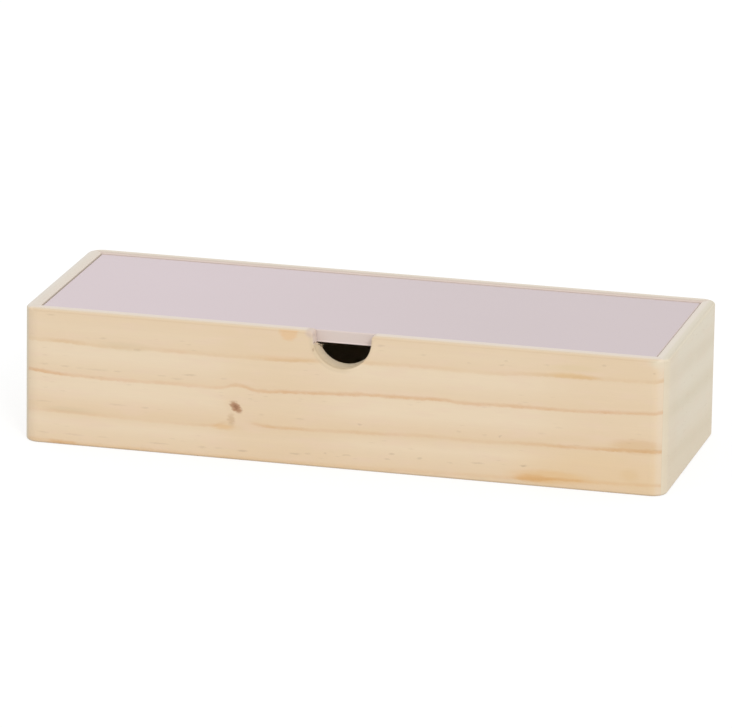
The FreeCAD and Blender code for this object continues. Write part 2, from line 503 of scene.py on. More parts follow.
@dataclass(frozen=True)
class LateLine:
    """The thin dark line at the end of a year's growth, sharp below and softer above.

    Attributes:
        path: Its height at places along the board.
        strength: How dark it is at places along the board.
        colour: The colour of its darkest stretch.
        rise: How far below its middle it starts.
        fade: How far above its middle it ends.
        core: Half the width of its darkest part.
        full: How much of its colour there is at a strength of 1.
        patchiness: How much slow noise makes it come and go.
    """

    path: tuple[Point, ...]
    strength: tuple[Point, ...]
    colour: Colour
    rise: float = 1.1
    fade: float = 1.6
    core: float = 0.1
    full: float = 0.5
    patchiness: float = 1.3

    def lay(self, colour: Wire, spot: Spot, patch: Wire) -> Wire:
        """Draw the line over a colour.

        Args:
            colour: The colour below.
            spot: The spot on the board.
            patch: Slow noise that makes it come and go.

        Returns:
            The colour with the line on it.
        """
        above = spot.grain - spot.recipe.curve(spot.along, self.path)
        amount = above.step(-self.rise, -self.core) * above.step(self.fade, self.core)
        dark = spot.recipe.curve(spot.along, self.strength) * (patch * self.patchiness + 1.0)
        return spot.recipe.blend(amount * dark * self.full, colour, self.colour)


@dataclass(frozen=True)
class Knot:
    """A small dead knot that the grain runs round.

    Attributes:
        at: Its middle: along the board from halfway, and up from the lower edge.
        length: Half its length.
        width: Half its width.
        push: How far it pushes the nearest grain aside.
        spread: How far along the board the grain bends.
        climb: How far up and down from it the grain bends.
        ease: How gently the bend turns from upwards to downwards at its middle.
        lean: How far it leans down to the right, in degrees.
        rings: Its tan halo, brown rim and dark heart, by the share of its size.
    """

    at: Point
    length: float
    width: float
    push: float
    spread: float
    climb: float = 11.0
    ease: float = 3.0
    lean: float = 42.0
    rings: tuple[Tinge, ...] = (
        Tinge(TAN, 0.35, (3.2, 1.0)), Tinge(BROWN, 0.85, (1.5, 0.7)), Tinge(DARK_BROWN, 0.6, (0.8, 0.2)),
    )

    def bend(self, along: Wire, height: Wire) -> Wire:
        """Say how far the grain is pushed up, or down where it is below the knot.

        Args:
            along: Place along the board.
            height: Height.

        Returns:
            The shift.
        """
        above = height - self.at[1]
        near = ((along - self.at[0]) / self.spread).bell() * self.push
        return near * (above / self.climb).bell() * above / (abs(above) + self.ease)

    def lay(self, colour: Wire, spot: Spot) -> Wire:
        """Lay the knot over a colour.

        Args:
            colour: The colour below.
            spot: The spot on the board.

        Returns:
            The colour with the knot on it.
        """
        centre = (*self.at, 0.0)
        sockets = {0: spot.place, 1: centre, "Angle": math.radians(self.lean)}
        leaning = spot.recipe.node("ShaderNodeVectorRotate", {"rotation_type": "Z_AXIS"}, sockets)
        far = spot.recipe.spread(leaning, centre, (self.length, self.width, math.inf))
        for ring in self.rings:
            colour = ring.lay(colour, far)
        return colour


@dataclass(frozen=True)
class Notch:
    """The finger notch in a board, and how its cut wood looks.

    Attributes:
        radius: Radius of its round foot.
        centre: Height of that round's centre.
        edge_shade_colour: Painted shade on its rounded outer edge, which would otherwise catch the light.
        cut_colour: Colour of the cut wood.
        cheek_colour: Its pinkish colour on the cheeks beside the lid.
        inner_light_colour: The paler colour that it turns to at the inner edge, painted light against the
            shade under the lid.
        strength: How much of these colours there is.
        border: Where they set in and are full, measured outwards from the cut.
        left_border: The same on the left, where painted shade reaches further out over the rounding.
        left_reach: How far to the right of the middle that wider painted shade ends.
        cheek_turn: Where the cheeks' colour sets in and is full, measured up from the lid's seat.
        eased_turn: Where the cut wood's colour takes over from the painted shade, measured inwards.
        arris_turn: The same for the inner edge's colour.
        fray: How far the torn places are ragged.
        fray_size: The size of that raggedness.
        tears: Places where the saw tore the wood, with painted shadow in the torn hollow and along the lid's
            lower edge, and painted shade on the notch's top-left corner.
    """

    radius: float = 13.5
    centre: float = 60.5
    edge_shade_colour: Colour = paint(208, 188, 156)
    cut_colour: Colour = paint(231, 212, 180)
    cheek_colour: Colour = paint(228, 211, 202)
    inner_light_colour: Colour = paint(248, 232, 203)
    strength: float = 0.9
    border: Point = (0.5, -0.1)
    left_border: Point = (2.4, -0.2)
    left_reach: float = 8.0
    cheek_turn: Point = (-0.6, 0.9)
    eased_turn: Point = (0.6, 2.4)
    arris_turn: Point = (1.2, 8.5)
    fray: float = 0.5
    fray_size: float = 0.7
    tears: tuple[Stain, ...] = (
        # Painted shadow in the hollow that the saw tore under the lid
        Stain((-12.7, 56.4), (1.3, 0.9), HOLLOW_SHADOW_DARK, 0.95, 0.8, depth=8.2, depth_reach=2.0),
        Stain((-12.4, 55.3), (1.2, 1.1), HOLLOW_SHADOW_DARK, 0.9, 0.8, depth=9.5, depth_reach=1.4),
        # Painted shadow of the gap under the lid's lower edge, on the left cheek
        Stain((-13.2, 57.9), (0.9, 0.36), GAP_SHADOW_BROWN, 0.75, 0.9, depth=1.8, depth_reach=1.1),
        Stain((-13.1, 57.15), (0.9, 0.3), GAP_SHADOW_BROWN, 0.75, 0.9, depth=5.2, depth_reach=3.0),
        Stain((-13.3, 55.0), (0.4, 0.8), paint(176, 146, 116), 0.6, depth_reach=1.4),
        Stain((-12.9, 56.9), (0.9, 0.6), paint(226, 210, 188), 0.6, 1.0, depth=2.6, depth_reach=1.2),
        # Painted shade on the notch's top-left corner, pinkish-grey
        Stain((-14.8, 63.0), (2.2, 2.4), paint(208, 187, 174), 0.65, 0.9),
    )

    def lay(self, colour: Wire, spot: Spot) -> Wire:
        """Lay the cut wood's colour over a board's colour, with painted shade on the rounded outer edge and
        painted light deeper in.

        Args:
            colour: The colour below.
            spot: The spot on the board.

        Returns:
            The colour with the notch on it.
        """
        recipe, along, up, depth = spot.recipe, spot.along, spot.up, spot.depth
        beyond = recipe.length(recipe.join(along, (up - self.centre).at_most(0.0))) - self.radius
        # Painted shade reaches further out over the rounding on the left
        arris_shade = beyond.step(*self.left_border) * along.step(self.left_reach, 0.0)
        beside_lid = (up - SEAT_LEVEL).step(*self.cheek_turn)
        # The cut wood pales inwards, painted light against the shade under the lid
        cut = recipe.blend(depth.step(*self.arris_turn), self.cut_colour, self.inner_light_colour)
        cheek_tinted = recipe.blend(beside_lid, cut, self.cheek_colour)
        # Painted shade on the rounded outer edge, fading inwards
        edge_shaded = recipe.blend((depth + beside_lid).step(*self.eased_turn), self.edge_shade_colour, cheek_tinted)
        marked = recipe.blend(beyond.step(*self.border).at_least(arris_shade) * self.strength, colour, edge_shaded)
        cells = recipe.join(along / self.fray_size, depth / self.fray_size, up / self.fray_size)
        ragged = recipe.noise(cells) * self.fray
        torn = replace(spot, place=recipe.join(along + ragged, up + ragged, depth + ragged))
        for tear in self.tears:
            marked = tear.lay(marked, torn)
        return marked


@dataclass(frozen=True)
class Rim:
    """The sanded top edge of a board.

    Attributes:
        outer_colour: Its colour next to the outer face.
        inner_colour: Its colour next to the lid.
        turn: Where the one turns into the other: how far in that starts and ends.
        arris_shade: How much painted shade darkens its outer arris, which catches the light.
        lip_colour: Colour of the lip that stands above the lid, if it isn't the inner colour.
        strength: How much of these colours there is.
        top_turn: Where they set in and are full, measured down from the top.
        lip_turn: The same for the lip, measured outwards from it.
        lip_rise: How far above the lid's seat the lip's colour is full.
        arris_turn: Where the wear sets in and is full, measured inwards and down from the outer arris.
    """

    outer_colour: Colour
    inner_colour: Colour
    turn: Point = (0.4, 4.6)
    arris_shade: float = 0.0
    lip_colour: Colour | None = None
    strength: float = 0.9
    top_turn: Point = (0.65, 0.1)
    lip_turn: Point = (0.4, 0.1)
    lip_rise: float = 1.0
    arris_turn: Point = (1.6, 0.9)

    def lay(self, colour: Wire, spot: Spot) -> Wire:
        """Lay the sanded edge's colour over a board's colour.

        Args:
            colour: The colour below.
            spot: The spot on the board.

        Returns:
            The colour with the rim on it.
        """
        recipe, depth = spot.recipe, spot.depth
        below = HEIGHT - spot.up
        sanded = recipe.blend(depth.step(*self.turn), self.outer_colour, self.inner_colour)
        topped = recipe.blend(below.step(*self.top_turn) * self.strength, colour, sanded)
        above_lid = (spot.up - SEAT_LEVEL).step(0.0, self.lip_rise)
        on_lip = (RIM_THICKNESS - depth).step(*self.lip_turn) * above_lid
        rimmed = recipe.blend(on_lip * self.strength, topped, self.lip_colour or self.inner_colour)
        # Painted shade over the outer arris, which catches the light
        on_arris = (depth + below).step(*self.arris_turn)
        return recipe.blend(on_arris * self.arris_shade, rimmed, SHADED_ARRIS, "MULTIPLY")


@dataclass(frozen=True)
class Channel:
    """A short dark resin channel.

    Attributes:
        along: Where its middle is, from halfway along the board.
        up: How high it lies.
        dark: How dark it is, where 1 is usual.
        length: Half its length.
        turn: Where it sets in and is full, by the share of its size.
    """

    along: float
    up: float
    dark: float = 0.7
    length: float = 2.2
    turn: Point = (1.4, 0.2)

    def amount(self, spot: Spot) -> Wire:
        """Say how much of the channel there is at a spot."""
        reach = (self.length, MARK_HEIGHT, math.inf)
        return spot.recipe.spread(spot.place, (self.along, self.up, 0.0), reach).step(*self.turn) * self.dark


@dataclass(frozen=True)
class Pine:
    """Sanded pine under a thin matt lacquer, with wide pale bands between thin late lines.

    Attributes:
        name: The material's name.
        run: Which way the grain runs.
        tones: Colours up the board, each with its height.
        lines: The late lines.
        lie: How the soft bands lie along the board: place and rise.
        warmth: How much warmer the board is at places along it.
        warm_colour: What it tends to there.
        rim: The sanded top edge.
        ends: Painted shade and highlight on its rounded ends, on the minus side and on the plus side, by the
            distance from the end.
        waver: How far the grain wanders.
        lean: How much the grain sinks per millimetre inwards.
        slant: How much the grain sinks per millimetre along the board.
        blush: How strong its rosy patches are.
        seed: Shifts the random part.
        stains: Patches of colour.
        marks: Resin channels at known places.
        knots: Knots.
        notch: The notch cut in it.
    """

    name: str
    run: Run
    tones: tuple[tuple[float, Colour], ...]
    lines: tuple[LateLine, ...]
    lie: tuple[Point, ...]
    warmth: tuple[Point, ...]
    warm_colour: Colour
    rim: Rim
    ends: tuple[Tinge, Tinge]
    waver: float = 0.9
    lean: float = 0.22
    slant: float = 0.0
    blush: float = 0.4
    seed: float = 0.0
    stains: tuple[Stain, ...] = ()
    marks: tuple[Channel, ...] = ()
    knots: tuple[Knot, ...] = ()
    notch: Notch | None = None

    def material(self) -> bpy.types.Material:
        """Make the material.

        Returns:
            The material.
        """
        material = new_material(self.name)
        recipe = Recipe(material.node_tree)
        spot = self.spot(recipe)
        along, grain, depth = spot.along, spot.grain, spot.depth
        patch = PATCHES.draw(along, grain, self.seed)
        rough = ROUGHENING.draw(along, grain, self.seed)

        colour = self.ground(spot)
        for stain in self.stains:
            colour = stain.lay(colour, spot)
        # Painted shade and highlight on the rounded ends
        minus_end, plus_end = self.ends
        colour = minus_end.lay(colour, along + self.run.half)
        colour = plus_end.lay(colour, self.run.half - along)
        ragged = replace(spot, grain=grain + rough * 0.9)
        for line in self.lines:
            colour = line.lay(colour, ragged, patch + rough * 0.5)
        dark = self.channels(spot) * (patch * 0.8 + 1.0)
        colour = recipe.blend(dark * 0.4, colour, GREY_BROWN)
        for knot in self.knots:
            colour = knot.lay(colour, spot)
        colour = self.rim.lay(colour, spot)
        if self.notch:
            colour = self.notch.lay(colour, spot)
        from_end = self.run.half - abs(along)
        colour = MITRE_LINE.lay(colour, abs(from_end - depth))

        fibre = FIBRES.draw(along, grain, depth / FIBRES.across + self.seed)
        streak = STREAKS.draw(along, grain, self.seed)
        recipe.surface({
            "Base Color": recipe.shaded(colour, fibre * 0.045 + streak * 0.035 + 1.0),
            "Roughness": 0.52 + fibre * 0.12 + dark * 0.15,
            "IOR": COAT_IOR,
            "Normal": recipe.bump(fibre * 0.03 + streak * 0.015 - dark * 0.03),
        })
        return material

    def spot(self, recipe: Recipe) -> Spot:
        """Give the spot that the shader colours, with the board's grain in it.

        Args:
            recipe: The tree.

        Returns:
            The spot.
        """
        parts = recipe.split(recipe.place())
        along, up = parts[self.run.along], parts["Z"]
        depth = self.run.outside - abs(parts[self.run.across])
        slow = SLOW_WAVER.draw(along, up, self.seed)
        quick = QUICK_WAVER.draw(along, up, self.seed)
        grain = up + depth * self.lean + along * self.slant + slow * (2.0 * self.waver) + quick
        ragged = FRAYING.draw(along, grain, self.seed)
        place = recipe.join(along + ragged * 3.0, grain + ragged * 0.8, depth)
        return Spot(recipe, along, up, depth, grain, place)

    def ground(self, spot: Spot) -> Wire:
        """Colour the wood between the late lines.

        Args:
            spot: The spot on the board.

        Returns:
            The colour.
        """
        recipe, along, grain = spot.recipe, spot.along, spot.grain
        level = grain - recipe.curve(along, self.lie)
        for knot in self.knots:
            level = level - knot.bend(along, grain)
        stops = [(stop_height / HEIGHT, colour) for stop_height, colour in self.tones]
        tones = recipe.node("ShaderNodeValToRGB", {"stops": stops}, {0: level / HEIGHT})
        cloud = CLOUDS.draw(along, grain, self.seed)
        warmed = recipe.blend(recipe.curve(along, self.warmth) + cloud * 0.3, tones, self.warm_colour)
        rosy = ROSY_SPOTS.draw(along, grain, self.seed)
        return Tinge(BLUSH, self.blush, (-0.05, 0.25)).lay(warmed, rosy)

    def channels(self, spot: Spot) -> Wire:
        """Scatter short thin resin channels, besides those at known places.

        Args:
            spot: The spot on the board.

        Returns:
            How much of a channel there is.
        """
        cell_length, cell_width = 13.0, 2.4
        cells = spot.recipe.join(spot.along / cell_length, spot.grain / cell_width, self.seed + 1.3)
        sockets = {"Vector": cells, "Scale": 1.0}
        scattered = spot.recipe.node("ShaderNodeTexVoronoi", {"voronoi_dimensions": "2D"}, sockets)
        stretch = STRETCHES.draw(spot.along, spot.grain, self.seed)
        dark = scattered.output("Distance").step(0.16, 0.03) * stretch.step(0.05, 0.16) * 0.4
        for mark in self.marks:
            dark = dark.at_least(mark.amount(spot))
        return dark


FRONT_TONES = (
    (0.0, TAN), (2.5, SAND), (7.0, STRAW), (11.5, CREAM), (15.0, STRAW), (17.5, TAN), (21.0, SAND),
    (26.5, CREAM), (33.0, CREAM), (35.5, SAND), (39.0, STRAW), (44.0, CREAM), (48.0, CREAM), (50.5, SAND),
    (56.0, STRAW), (HEIGHT, SAND),
)
END_TONES = tuple((height, paint(*levels)) for height, levels in (
    (0.0, (230, 217, 194)), (13.0, (229, 216, 192)), (24.0, (231, 220, 199)), (34.0, (228, 217, 194)),
    (42.0, (231, 221, 200)), (52.0, (229, 218, 197)), (HEIGHT, (231, 222, 202)),
))

TOP_LINE = LateLine(
    path=((-150, 49.0), (-130, 48.9), (-110, 48.1), (-80, 48.7), (-55, 48.5), (-30, 48.7), (-12, 49.8),
          (20, 51.0), (40, 51.3), (65, 50.8), (80, 51.6), (100, 52.4), (130, 52.7), (142, 53.0), (146, 53.6),
          (150, 55.4)),
    strength=((-150, 0.4), (-138, 0.5), (-128, 0.8), (-116, 0.4), (-104, 0.4), (-90, 0.3), (-78, 0.5),
              (-60, 0.4), (-46, 0.4), (-28, 0.8), (-8, 0.6), (20, 0.5), (60, 0.35), (80, 0.5), (96, 0.7),
              (112, 0.8), (124, 0.4), (143, 0.35), (148, 0.9), (150, 0.9)),
    colour=paint(212, 171, 118),
    fade=1.8,
)
MIDDLE_LINE = LateLine(
    path=((-150, 34.8), (-140, 34.0), (-130, 33.4), (-110, 33.1), (-95, 33.1), (-80, 33.5), (-60, 33.2),
          (-53, 34.3), (-48, 35.2), (-43, 34.2), (-38, 33.4), (-28, 33.9), (0, 35.2), (10, 35.8), (30, 36.1),
          (46, 36.6), (56, 35.9), (80, 36.5), (100, 36.6), (120, 37.3), (135, 37.9), (143, 38.4),
          (147, 39.2), (150, 40.4)),
    strength=((-150, 1.3), (-141, 1.2), (-133, 0.8), (-124, 0.7), (-110, 0.6), (-80, 0.5), (-60, 0.5),
              (-50, 0.6), (-36, 0.8), (0, 0.95), (40, 0.95), (62, 0.7), (84, 0.8), (150, 0.9)),
    colour=LATE_WOOD,
)
KNOT_LINE = LateLine(
    path=((-150, 15.8), (-135, 15.8), (-113, 15.4), (-75, 14.8), (-60, 15.3), (-48, 17.9), (-42, 17.8),
          (-33, 17.0), (-20, 17.1), (0, 17.7), (18, 18.1), (43, 19.1), (62, 18.6), (85, 19.6), (105, 19.7),
          (120, 20.1), (140, 20.7), (150, 21.2)),
    strength=((-150, 0.3), (-136, 0.4), (-118, 0.4), (-90, 0.25), (-62, 0.4), (-52, 0.2), (-46, 0.0),
              (-40, 0.6), (-30, 0.8), (-16, 0.6), (0, 0.4), (13, 0.6), (30, 0.35), (62, 0.3), (84, 0.5),
              (104, 0.9), (150, 1.1)),
    colour=paint(212, 166, 114),
)
FOOT_LINE = LateLine(
    path=((-150, 2.0), (-132, 1.2), (-100, 0.9), (0, 1.4), (40, 2.2), (70, 2.8), (82, 3.0), (92, 3.5),
          (100, 4.1), (120, 4.4), (150, 5.3)),
    strength=((-150, 0.3), (-138, 0.6), (-130, 1.3), (-122, 0.4), (-60, 0.4), (0, 0.3), (60, 0.3),
              (80, 0.5), (86, 1.1), (110, 1.0), (116, 0.5), (150, 0.5)),
    colour=paint(214, 165, 104),
)

# Resin channels on the front board: along, up, how dark, and half the length where it isn't the usual one
FRONT_CHANNELS = (
    (-140, 37.7, 0.5), (-130, 37.3, 0.6), (-123, 37.2, 0.4), (-115, 37.0, 0.5, 6.0), (-105, 37.0, 0.6, 1.8),
    (-84, 36.8, 0.4), (-77, 36.0, 0.5, 3.0), (-71, 38.3, 0.8, 3.2), (-55, 37.8, 0.4, 1.5),
    (-112, 52.0, 0.6, 1.8), (-137, 61.0, 0.6), (-105, 21.2, 0.5, 4.0), (-92, 21.0, 0.6, 1.8),
    (-140, 20.0, 0.5, 4.0), (-37, 22.5, 0.4, 1.6), (-19, 22.0, 0.6), (9, 22.0, 0.8, 1.2),
    (55, 22.5, 0.5, 1.5), (67, 22.0, 0.4, 1.2), (74, 22.0, 0.9, 0.7), (101, 28.5, 0.4, 2.0),
    (93, 25.0, 0.4, 2.0), (-140, 5.2, 0.5, 3.0), (-126, 5.4, 0.5, 5.0), (-112, 5.4, 0.4, 3.0),
    (-85, 4.7, 0.6, 5.0), (-65, 4.6, 0.6), (-57, 5.0, 0.4), (-46, 4.5, 1.0, 2.6), (-21, 5.4, 0.8, 3.0),
    (-15, 6.0, 0.6, 1.8), (-7, 6.8, 0.8, 0.8), (3, 6.8, 0.7), (24, 9.3, 1.1, 1.2), (22, 6.7, 0.8, 1.5),
    (37, 8.5, 0.8, 1.3), (51, 7.5, 0.6, 1.5), (64, 8.5, 0.7, 3.4), (85, 9.2, 1.1, 1.6),
    (18, 59.5, 0.6, 1.8), (38, 57.0, 0.4, 1.6), (59, 55.0, 0.4, 1.0), (74, 55.2, 0.6, 1.2),
    (76, 57.4, 0.5, 0.8), (95, 57.0, 0.5, 1.4), (121, 59.0, 0.7, 1.0), (144, 57.2, 0.6, 0.8),
)
FRONT_PINE = Pine(
    name="pine_front",
    run=Run.LENGTHWISE,
    tones=FRONT_TONES,
    lines=(TOP_LINE, MIDDLE_LINE, KNOT_LINE, FOOT_LINE),
    lie=((-150, 0.6), (-110, -0.9), (-60, -0.8), (-20, 0.1), (20, 1.2), (60, 1.6), (100, 2.6), (150, 4.4)),
    warmth=((-150, 0.1), (-100, 0.0), (-62, 0.1), (-36, 0.6), (-12, 0.5), (20, 0.05), (70, 0.05),
            (100, 0.35), (128, 0.6), (150, 0.5)),
    warm_colour=TAN,
    rim=Rim(paint(230, 211, 184), paint(227, 216, 206), arris_shade=1.0),
    # Painted shade on the left rounded end and a painted highlight on the right one
    ends=(Tinge(paint(200, 192, 178), 0.7, (2.6, 0.4)), Tinge(paint(229, 212, 190), 0.45, (5.8, 3.0))),
    waver=0.15,
    knots=(Knot(at=(-49.1, 25.0), length=2.9, width=1.6, push=4.5, spread=7.0),),
    stains=(
        Stain((124.0, 10.0), (38.0, 9.0), paint(229, 200, 158), 0.55),
        Stain((98.0, 5.0), (17.0, 3.0), paint(225, 187, 134), 0.6, softness=0.9),
        Stain((90.0, 3.8), (8.0, 1.7), paint(218, 168, 106), 0.5, softness=1.0),
        Stain((134.0, 9.0), (4.0, 2.6), paint(222, 190, 142), 0.4),
        Stain((138.0, 22.6), (12.0, 3.2), paint(218, 183, 138), 0.55, softness=0.8),
        Stain((107.0, 53.0), (10.0, 1.3), paint(224, 188, 134), 0.5, softness=0.9),
        Stain((108.0, 56.6), (9.0, 1.5), paint(222, 200, 160), 0.45),
        Stain((-102.0, 49.0), (11.0, 1.8), paint(217, 196, 162), 0.5),
        Stain((-96.0, 47.9), (1.5, 0.6), paint(204, 179, 146), 0.4),
        Stain((-128.0, 16.9), (10.0, 1.3), paint(214, 192, 158), 0.45),
        Stain((-55.0, 15.2), (4.5, 1.3), paint(222, 180, 126), 0.5),
        Stain((-51.2, 18.8), (1.5, 2.6), paint(196, 164, 126), 0.5),
        Stain((-26.0, 49.6), (14.0, 1.2), paint(226, 192, 148), 0.4),
        Stain((-24.8, 63.0), (4.2, 4.6), paint(229, 190, 144), 0.7, softness=0.5),
        Stain((148.5, 65.0), (7.0, 5.5), paint(226, 216, 192), 0.8, softness=0.9),
    ),
    marks=tuple(Channel(*row) for row in FRONT_CHANNELS),
    notch=Notch(),
)


def plain_line(level: float, slope: float, dark: float) -> LateLine:
    """Make a late line that runs straight, for the boards that show little.

    Args:
        level: Its height halfway along the board.
        slope: How far it climbs per millimetre.
        dark: How dark it is.

    Returns:
        The line.
    """
    reach = HALF_LENGTH
    path = ((-reach, level - slope * reach), (0.0, level), (reach, level + slope * reach))
    strength = ((-reach, dark), (0.0, dark * 0.7), (reach, dark))
    return LateLine(path=path, strength=strength, colour=LATE_WOOD, fade=2.2)


def soft_band(level: float, dark: float) -> LateLine:
    """Make the soft grey band that a year's growth leaves on a board cut near the middle of the tree.

    Args:
        level: Its height.
        dark: How dark it is.

    Returns:
        The band.
    """
    ends = (-HALF_WIDTH, 0.0, HALF_WIDTH)
    return LateLine(
        path=tuple((end, level) for end in ends),
        strength=tuple(zip(ends, (dark * 0.6, dark, dark * 0.8))),
        colour=paint(210, 196, 166),
        rise=5.0,
        fade=6.5,
    )


BACK_PINE = Pine(
    name="pine_back",
    run=Run.LENGTHWISE,
    seed=21.0,
    tones=FRONT_TONES,
    lines=(plain_line(8.0, 0.01, 0.5), plain_line(21.0, -0.004, 0.8), plain_line(37.5, -0.012, 0.6),
           plain_line(52.0, -0.006, 0.9)),
    lie=((-150, 1.5), (-40, -1.0), (60, 0.8), (150, -1.6)),
    warmth=((-150, 0.5), (0, 0.1), (150, 0.4)),
    warm_colour=TAN,
    # The rim turns pinkish-brown towards the lid and on its lip, a painted reflection of the lid
    rim=Rim(paint(226, 216, 201), paint(209, 193, 181), (2.6, 5.0), lip_colour=paint(219, 204, 196)),
    ends=(Tinge(SAND, 0.5, (5.0, 2.0)), Tinge(SAND, 0.5, (5.0, 2.0))),
)


def end_board(name: str, seed: float, rim: Rim) -> Pine:
    """Make the finish of an end board, paler and plainer than the long ones.

    Args:
        name: The material's name.
        seed: Shifts the random part.
        rim: Its sanded top edge.

    Returns:
        The finish.
    """
    return Pine(
        name=name,
        run=Run.CROSSWISE,
        seed=seed,
        tones=END_TONES,
        lines=(soft_band(12.0, 0.35), soft_band(34.0, 0.45), soft_band(50.0, 0.4)),
        lie=((-55, 0.5), (0, 0.0), (55, 0.8)),
        warmth=((-55, 0.5), (-38, 0.4), (-20, 0.0), (55, 0.0)),
        warm_colour=paint(230, 214, 188),
        rim=rim,
        # Painted shade on both rounded ends
        ends=(Tinge(paint(225, 211, 186), 0.8, (7.0, 3.0)), Tinge(paint(206, 200, 190), 0.7, (4.0, 1.0))),
        slant=0.075,
        blush=0.12,
    )


RIGHT_RIM = Rim(paint(219, 210, 191), paint(227, 217, 205), (2.2, 4.2), arris_shade=0.75)
RIGHT_PINE = end_board("pine_right", 41.0, RIGHT_RIM)
LEFT_PINE = end_board("pine_left", 61.0, Rim(paint(225, 217, 207), paint(224, 213, 200)))


@dataclass(frozen=True)
class Paint:
    """Matt paint on a smooth board, rolled on, warmer on its sawn edges, and with a painted highlight on its
    lower arris.

    Attributes:
        name: The material's name.
        colour: The paint's colour on the flat.
        far_colour: The colour that it drifts to at the box's +X end.
        edge: Its colour on the sawn edges, by the distance from them.
        arris: Its paler colour on the lower arris, a painted highlight, by the height above the underside.
        half: Half the panel's length and width.
        foot: Height of the panel's underside.
        arris_reach: How far in from the edges the arris's colour sets in and is full.
        cloud_size: Size of its faint clouds.
        stipple_size: Size of the roller's stipple.
    """

    name: str
    colour: Colour
    far_colour: Colour
    edge: Tinge
    arris: Tinge
    half: Point
    foot: float
    arris_reach: Point = (0.5, 0.1)
    cloud_size: float = 70.0
    stipple_size: float = 0.8

    def material(self) -> bpy.types.Material:
        """Make the material.

        Returns:
            The material.
        """
        material = new_material(self.name)
        recipe = Recipe(material.node_tree)
        place = recipe.place()
        parts = recipe.split(place)
        cloud = recipe.noise(recipe.scale(place, 1 / self.cloud_size))
        stipple = recipe.noise(recipe.scale(place, 1 / self.stipple_size))
        drift = parts["X"].step(-self.half[0], self.half[0] * 0.7) + cloud * 0.5
        flat = recipe.blend(drift, self.colour, self.far_colour)
        inside = (self.half[0] - abs(parts["X"])).at_most(self.half[1] - abs(parts["Y"]))
        edged = self.edge.lay(flat, inside)
        # Painted highlight along the lower arris of the edges
        thin = (parts["Z"] - self.foot).step(*self.arris.turn) * inside.step(*self.arris_reach)
        painted = recipe.blend(thin * self.arris.strength, edged, self.arris.colour)
        recipe.surface({
            "Base Color": recipe.shaded(painted, cloud * 0.012 + stipple * 0.004 + 1.0),
            "Roughness": 0.5 + stipple * 0.1,
            "IOR": COAT_IOR,
            "Normal": recipe.bump(stipple * 0.003),
        })
        return material


@dataclass(frozen=True)
class BareWood:
    """Plain unfinished wood, for what hardly shows.

    Attributes:
        name: The material's name.
        colour: Its colour.
        run: Which way the grain runs.
    """

    name: str
    colour: Colour
    run: Run

    def material(self) -> bpy.types.Material:
        """Make the material.

        Returns:
            The material.
        """
        material = new_material(self.name)
        recipe = Recipe(material.node_tree)
        parts = recipe.split(recipe.place())
        along, across, up = parts[self.run.along], parts[self.run.across], parts["Z"]
        streak = BARE_STREAKS.draw(along, across, up / BARE_STREAKS.across)
        fibre = BARE_FIBRES.draw(along, across, up / BARE_FIBRES.across)
        recipe.surface({
            "Base Color": recipe.shaded(self.colour, streak * 0.16 + fibre * 0.06 + 1.0),
            "Roughness": 0.7 + fibre * 0.1,
            "Normal": recipe.bump(fibre * 0.03),
        })
        return material


Finish = Pine | Paint | BareWood


def dress(finish: Finish, *nodes: str) -> None:
    """Give nodes of the frame one finish.

    Args:
        finish: The finish.
        nodes: The nodes' names.
    """
    material = finish.material()
    for node in nodes:
        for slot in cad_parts[node].material_slots:
            slot.link = "OBJECT"
            slot.material = material
        log.info("%s has the finish %s", node, finish.name)


@dataclass
class Carcass:
    """The four mitred walls and their hidden splines."""

    walls: dict[str, Pine] = field(default_factory=lambda: {
        "front_wall": FRONT_PINE, "back_wall": BACK_PINE, "left_wall": LEFT_PINE, "right_wall": RIGHT_PINE})
    splines: tuple[str, ...] = (
        "spline_front_left", "spline_front_right", "spline_back_left", "spline_back_right",
    )
    spline_wood: BareWood = BareWood("beech", paint(205, 176, 140), Run.LENGTHWISE)

    def dress(self) -> None:
        """Give the walls and splines their finish."""
        for node, finish in self.walls.items():
            dress(finish, node)
        dress(self.spline_wood, *self.splines)


